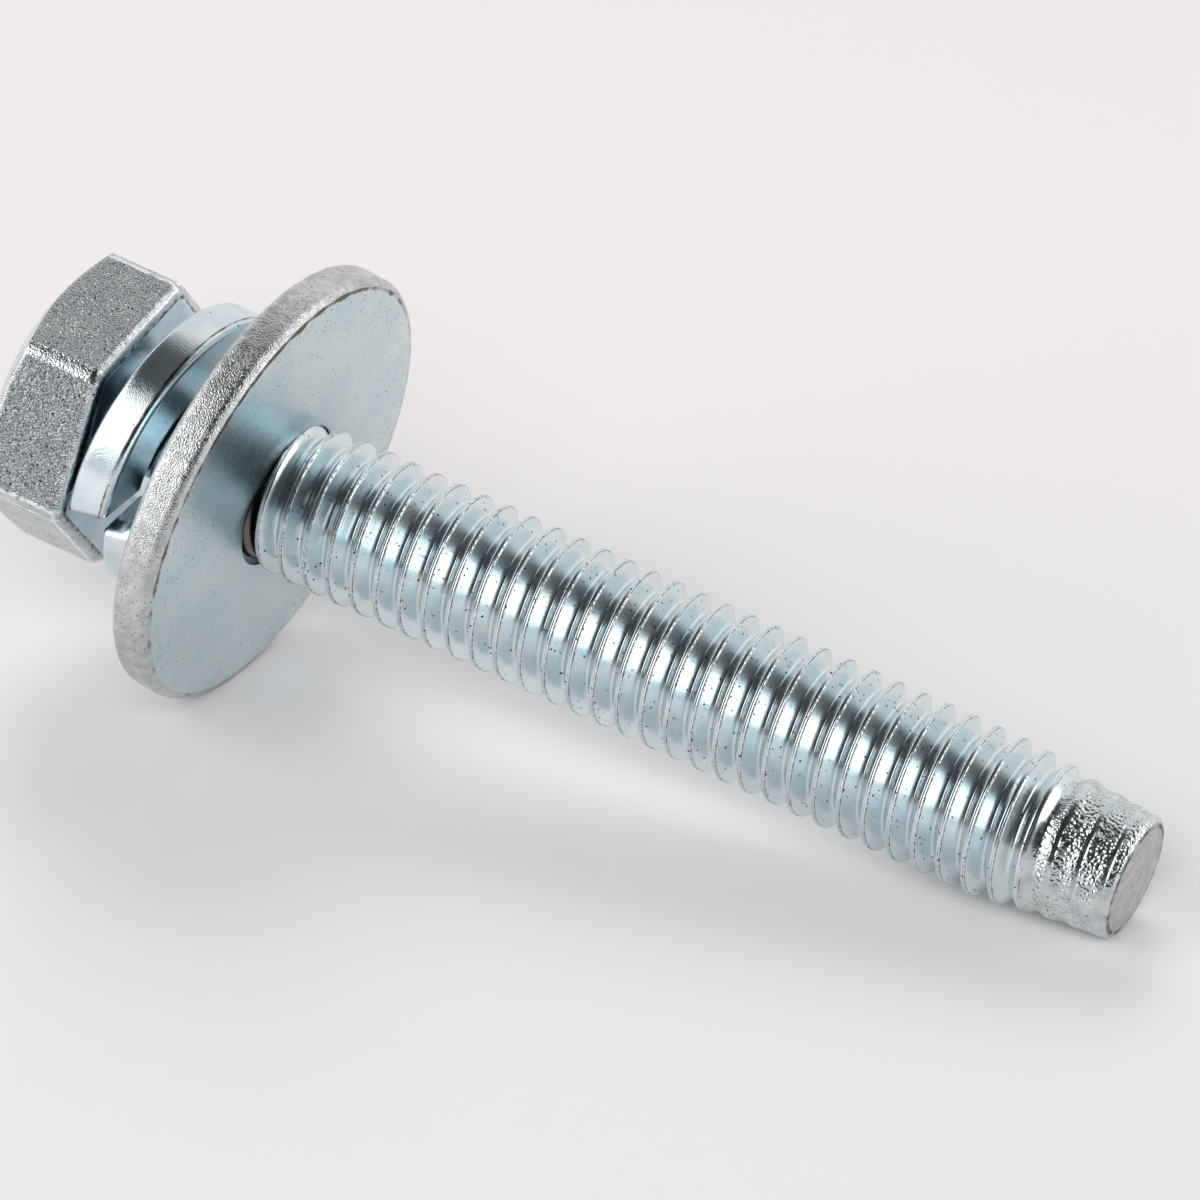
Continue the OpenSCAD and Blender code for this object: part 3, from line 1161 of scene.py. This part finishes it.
@dataclass
class FlatWasher:
    """The flat washer: a stamped ring with a rounded, pitted rim and satin faces."""

    outer_d: float = 17.2
    bore_d: float = 5.69
    thickness: float = 1.55
    rim_r: float = 0.4
    hole_r: float = 0.06
    crown: float = 0.28
    land_d: float = 9.2
    land_edge_r: float = 1.0
    row_step: float = 0.25
    burr_side: float = math.radians(235.0)
    burr_least: float = 0.5
    burr_most: float = 0.9
    worn_from: float = 5.8
    worn_full: float = 8.3
    dents: tuple[tuple[float, float], ...] = ((0.9, 0.03), (3.0, 0.015))
    steps: int = 360
    piece: Piece = Piece("stamped_ring", "flat_washer", "flat_ring", "flat_washer_zinc")

    def build(self, groups: CoatGroups) -> bpy.types.Object:
        """Turns the ring, roughens its rim, lays it on its seat and dresses it.

        Args:
            groups: The shared shader node groups.

        Returns:
            The washer's piece.
        """
        shell = bmesh.new()
        outer = self.outer_d / 2.0
        bore = self.bore_d / 2.0
        top = self.thickness + self.crown
        land = (self.land_d / 2.0, top)
        outline_face(shell, [
            (bore, 0.0), (outer, 0.0), (outer, self.thickness), land, (bore, top),
        ])
        round_corner(shell, land, self.land_edge_r, 6)
        for z in (0.0, self.thickness):
            round_corner(shell, (outer, z), self.rim_r, 6)
        for z in (0.0, top):
            round_corner(shell, (bore, z), self.hole_r, 4)
        refine(shell, lambda place: self.row_step)
        turn(shell, self.steps)
        seam_and_shade = shell.verts.layers.float.new("seam_and_shade")
        worn = shell.verts.layers.float.new("worn")
        for vertex in shell.verts:
            radius, angle = polar(vertex.co)
            facing = max(math.cos(angle - self.burr_side), 0.0)
            from_dark_ring = abs(radius - (outer - 0.85 * self.rim_r))
            vertex[seam_and_shade] = mix(self.burr_least, self.burr_most, facing) * (1.0 - ease(from_dark_ring, 0.03, 0.12))
            vertex[worn] = ease(radius, self.worn_from, self.worn_full)
            on_rim = ease(radius, outer - 0.6, outer - 0.1)
            dent = sum(abs(noise.noise(vertex.co * density)) * depth for density, depth in self.dents)
            vertex.co = at_radius(vertex.co, radius - on_rim * dent)
        for face in shell.faces:
            radius, _ = polar(face.calc_center_median())
            face.material_index = int(radius > outer - self.rim_r * 1.05)
        Seat.of_joint("flat_washer_spin").lay(shell, self.thickness)
        return self.piece.finish(shell, [SATIN_FACE.material(groups), PITTED_RIM.material(groups)])


@dataclass
class PhotoCamera:
    """The camera at the photograph's place: how the shank lies in its view, and where it stands."""

    shank_slope: float = math.radians(24.39)
    shank_tilt: float = math.radians(18.333)
    focal_px: float = 7755.2
    frame_px: float = 1200.0
    place: tuple[float, float, float] = (-1.1527, -263.59, 110.144)
    sensor: float = 36.0

    def axes(self) -> Matrix:
        """Works out how the camera is turned.

        Returns:
            The turn from the camera's axes to the part's frame.
        """
        along = math.cos(self.shank_tilt)
        shank = Vector((
            along * math.cos(self.shank_slope),
            -along * math.sin(self.shank_slope),
            math.sin(self.shank_tilt),
        ))
        upward = Vector((math.sin(self.shank_slope), math.cos(self.shank_slope), 0.0))
        nearer = shank.cross(upward)
        return Matrix((-upward, -nearer, shank))

    def build(self) -> bpy.types.Object:
        """Creates the camera and makes it the scene's own.

        Returns:
            The camera.
        """
        data = bpy.data.cameras.new("photo_camera")
        data.sensor_width = self.sensor
        data.lens = self.focal_px / self.frame_px * self.sensor
        data.clip_start = 0.01
        data.clip_end = 10.0
        camera = bpy.data.objects.new("photo_camera", data)
        bpy.context.scene.collection.objects.link(camera)
        camera.matrix_world = Matrix.Translation(Vector(self.place) * MM) @ self.axes().to_4x4()
        bpy.context.scene.camera = camera
        return camera


@dataclass(frozen=True)
class Softbox:
    """A soft lamp, placed by its bearing round the floor's upright and its height over the floor."""

    name: str
    bearing: float
    height: float
    distance: float
    width: float
    depth: float
    radiance: float
    mirrored: bool = True
    fade: float = 0.3


@dataclass(frozen=True)
class DarkSide:
    """A dark side of the room, round a bearing and a height, with its dark middle and its soft edge."""

    bearing: float
    height: float
    inner: float
    outer: float
    tone: float


@dataclass
class Studio:
    """The pale paper that the bolt lies on, the soft lamps and the pale room."""

    roll: float = math.radians(36.0)
    sight_tilt: float = math.radians(18.333)
    paper_size: float = 1400.0
    # Painted light falloff: the paper's colour is darker on the near side and lighter on the far side.
    paper_near_shaded: Colour = (0.83, 0.815, 0.823, 1.0)
    paper_far_lit: Colour = (0.97, 0.928, 0.93, 1.0)
    paper_depth: float = 40.0
    paper_roughness: float = 0.34
    paper_gap: float = 0.01
    fibre_scale: float = 900.0
    fibre_height: float = 0.02
    aim_z: float = 22.0
    tip_from_z: float = 40.0
    least_tilt: float = math.radians(2.0)
    most_tilt: float = math.radians(20.0)
    settle_rounds: int = 30
    room: Colour = (0.93, 0.915, 0.915, 1.0)
    room_light: float = 0.12
    dark_sides: tuple[DarkSide, ...] = (
        DarkSide(0.0, 80.0, 24.0, 38.5, 0.08),
        DarkSide(-122.0, 61.0, 12.0, 29.0, 0.1),
        DarkSide(4.0, 35.0, 40.0, 54.0, 0.035),
        DarkSide(-42.0, 1.0, 9.0, 17.0, 0.12),
    )
    lamps: tuple[Softbox, ...] = (
        Softbox("key_lamp", 180.0, 45.0, 420.0, 250.0, 250.0, 3.9, mirrored=False),
        Softbox("front_fill", -5.0, 38.0, 420.0, 320.0, 240.0, 6.2, mirrored=False),
        Softbox("left_softbox", -69.5, 31.0, 380.0, 345.0, 370.0, 2.1),
        Softbox("right_softbox", 76.0, 22.0, 400.0, 350.0, 250.0, 2.1),
    )

    def __post_init__(self) -> None:
        """Settles the floor under the bolt before anything is placed by it."""
        self.upright, self.level = self._settle()
        self.middle = Vector((0.0, 0.0, self.aim_z))
        sight = Vector((0.0, -math.cos(self.sight_tilt), math.sin(self.sight_tilt)))
        self.front = (sight - self.upright * sight.dot(self.upright)).normalized()
        self.right = self.upright.cross(self.front)

    def _towards(self, bearing: float, height: float) -> Vector:
        """Gives a direction in the room.

        Args:
            bearing: The bearing in degrees, from the camera's side towards its right.
            height: The height over the floor in degrees.

        Returns:
            The direction, one long.
        """
        turned = math.radians(bearing)
        raised = math.radians(height)
        level = self.front * math.cos(turned) + self.right * math.sin(turned)
        return level * math.cos(raised) + self.upright * math.sin(raised)

    def _settle(self) -> tuple[Vector, float]:
        """Finds the plane that touches the flat washer's rim and the bolt's point.

        Returns:
            The plane's upright, and its distance from the origin along it, in millimetres.
        """
        rim = [vertex.co / MM for vertex in frame["nodes"]["flat_washer"].data.vertices]
        bolt = [vertex.co / MM for vertex in frame["nodes"]["hex_bolt"].data.vertices]
        tip = [place for place in bolt if place.z > self.tip_from_z]
        low, high = self.least_tilt, self.most_tilt
        for _ in range(self.settle_rounds):
            tilt = (low + high) / 2.0
            upright = self._upright(tilt)
            if min(upright.dot(p) for p in rim) < min(upright.dot(p) for p in tip):
                low = tilt
            else:
                high = tilt
        return upright, min(upright.dot(p) for p in rim + tip)

    def _upright(self, tilt: float) -> Vector:
        """Gives the floor's upright for a tilt of the shank."""
        across = Vector((-math.cos(self.roll), -math.sin(self.roll), 0.0))
        return (across * math.cos(tilt) - UP * math.sin(tilt)).normalized()

    def build(self) -> None:
        """Builds the floor, the lamps and the room."""
        self._paper()
        for lamp in self.lamps:
            self._lamp(lamp)
        self._room()

    def _facing(self, place: Vector, normal: Vector) -> Matrix:
        """Gives the matrix that puts a flat thing at a place with its face along a normal."""
        turn_to = UP.rotation_difference(normal).to_matrix().to_4x4()
        return Matrix.Translation(place * MM) @ turn_to

    def _card(self, name: str, shell: bmesh.types.BMesh, material: bpy.types.Material) -> bpy.types.Object:
        """Makes a stage object from a flat shell in metres.

        Args:
            name: The object's name.
            shell: The shell, which is freed.
            material: Its material.

        Returns:
            The new object.
        """
        mesh = bpy.data.meshes.new(name)
        shell.to_mesh(mesh)
        shell.free()
        mesh.materials.append(material)
        card = bpy.data.objects.new(name, mesh)
        bpy.context.scene.collection.objects.link(card)
        return card

    def _paper(self) -> None:
        """Lays the paper, which is pale from above and clear from below, with a painted light falloff that
        is lighter on the far side.
        """
        material = bpy.data.materials.new("pale_paper")
        material.use_nodes = True
        board = NodeBoard(material.node_tree)
        board.tree.nodes.clear()
        place = board.add("ShaderNodeTexCoord").outputs["Object"]
        fibre = board.add("ShaderNodeTexNoise", {"Vector": place, "Scale": self.fibre_scale, "Detail": 4.0})
        bump = board.add(
            "ShaderNodeBump",
            {"Height": fibre.outputs["Fac"], "Distance": self.fibre_height * MM, "Strength": 1.0},
        )
        # Painted light falloff: the paper is lighter on the far side and darker towards the camera.
        nearer = board.add(
            "ShaderNodeVectorMath", {0: place, 1: tuple(self.front / MM)}, operation="DOT_PRODUCT"
        )
        part = board.band(nearer.outputs["Value"], -self.paper_depth, self.paper_depth)
        shader = board.add("ShaderNodeBsdfPrincipled", {
            "Base Color": board.blend(part, self.paper_far_lit, self.paper_near_shaded),
            "Roughness": self.paper_roughness,
            "Normal": bump.outputs["Normal"],
        })
        clear = board.add("ShaderNodeBsdfTransparent")
        side = board.add("ShaderNodeNewGeometry").outputs["Backfacing"]
        both = board.add("ShaderNodeMixShader", {0: side})
        board.feed(both.inputs[1], shader.outputs["BSDF"])
        board.feed(both.inputs[2], clear.outputs["BSDF"])
        board.add("ShaderNodeOutputMaterial", {"Surface": both.outputs["Shader"]})
        shell = bmesh.new()
        middle = self.middle + self.upright * (self.level - self.upright.dot(self.middle) - self.paper_gap)
        bmesh.ops.create_grid(
            shell, x_segments=1, y_segments=1, size=self.paper_size / 2.0 * MM,
            matrix=self._facing(middle, self.upright),
        )
        self._card("paper", shell, material)

    def _lamp(self, lamp: Softbox) -> None:
        """Places a softbox, facing the bolt and fading to its edges.

        Args:
            lamp: The softbox.
        """
        towards = self._towards(lamp.bearing, lamp.height)
        data = bpy.data.lights.new(lamp.name, "AREA")
        data.shape = "RECTANGLE"
        data.size = lamp.width * MM
        data.size_y = lamp.depth * MM
        data.energy = lamp.radiance * math.pi * lamp.width * lamp.depth * MM * MM
        light = bpy.data.objects.new(lamp.name, data)
        bpy.context.scene.collection.objects.link(light)
        sideways = self.upright.cross(towards).normalized()
        upward = towards.cross(sideways)
        turn_to = Matrix((sideways, upward, towards)).transposed().to_4x4()
        light.matrix_world = Matrix.Translation((self.middle + towards * lamp.distance) * MM) @ turn_to
        light.visible_camera = False
        light.visible_glossy = lamp.mirrored
        data.use_nodes = True
        board = NodeBoard(data.node_tree)
        board.tree.nodes.clear()
        across = board.add("ShaderNodeNewGeometry").outputs["Parametric"]
        sides = board.add("ShaderNodeSeparateXYZ", {0: across}).outputs
        glow: object = 1.0
        for side in (sides["X"], sides["Y"]):
            from_middle = board.math("ABSOLUTE", board.math("SUBTRACT", side, 0.5))
            from_edge = board.math("SUBTRACT", 0.5, from_middle)
            glow = board.math("MULTIPLY", board.band(from_edge, 0.0, lamp.fade / 2.0), glow)
        emission = board.add("ShaderNodeEmission", {"Strength": glow})
        board.add("ShaderNodeOutputLight", {"Surface": emission.outputs["Emission"]})

    def _room(self) -> None:
        """Makes the room: pale where it is seen, with dark sides in gloss, and a soft light elsewhere."""
        world = bpy.data.worlds.new("pale_room")
        bpy.context.scene.world = world
        world.use_nodes = True
        board = NodeBoard(world.node_tree)
        board.tree.nodes.clear()
        path = board.add("ShaderNodeLightPath").outputs
        seen = board.math("ADD", path["Is Camera Ray"], path["Is Transmission Ray"], clamp=True)
        soft = board.add(
            "ShaderNodeBackground", {"Color": (1.0, 0.99, 0.985, 1.0), "Strength": self.room_light}
        )
        pale = board.add("ShaderNodeBackground", {"Color": self.room, "Strength": 1.0})
        mirrored = board.add("ShaderNodeBackground", {"Color": self._mirrored_room(board), "Strength": 1.0})
        lit = board.add("ShaderNodeMixShader", {0: path["Is Glossy Ray"]})
        board.feed(lit.inputs[1], soft.outputs["Background"])
        board.feed(lit.inputs[2], mirrored.outputs["Background"])
        both = board.add("ShaderNodeMixShader", {0: seen})
        board.feed(both.inputs[1], lit.outputs["Shader"])
        board.feed(both.inputs[2], pale.outputs["Background"])
        board.add("ShaderNodeOutputWorld", {"Surface": both.outputs["Shader"]})

    def _mirrored_room(self, board: NodeBoard) -> bpy.types.NodeSocket:
        """Makes the room's colour by direction: pale, with its dark sides.

        Args:
            board: The board of the room's nodes.

        Returns:
            The colour's socket.
        """
        colour: object = self.room
        sight = board.add("ShaderNodeTexCoord").outputs["Generated"]
        for side in self.dark_sides:
            middle = tuple(self._towards(side.bearing, side.height))
            near = board.add("ShaderNodeVectorMath", {0: sight, 1: middle}, operation="DOT_PRODUCT")
            edge = math.cos(math.radians(side.outer))
            core = math.cos(math.radians(side.inner))
            dark = (side.tone, side.tone * 1.06, side.tone * 1.1, 1.0)
            colour = board.blend(board.band(near.outputs["Value"], edge, core), colour, dark)
        return colour


def main() -> None:
    """Builds the camera, the studio and the dressed pieces."""
    logging.basicConfig(level=logging.INFO, format="%(name)s: %(message)s")
    scene = bpy.context.scene
    scene.view_settings.view_transform = "Standard"
    PhotoCamera().build()
    Studio().build()
    groups = CoatGroups()
    for part in (HexBolt(), LockWasher(), FlatWasher()):
        piece = part.build(groups)
        log.info("%s stands for its node", piece.name)


if __name__ == "__main__":
    main()
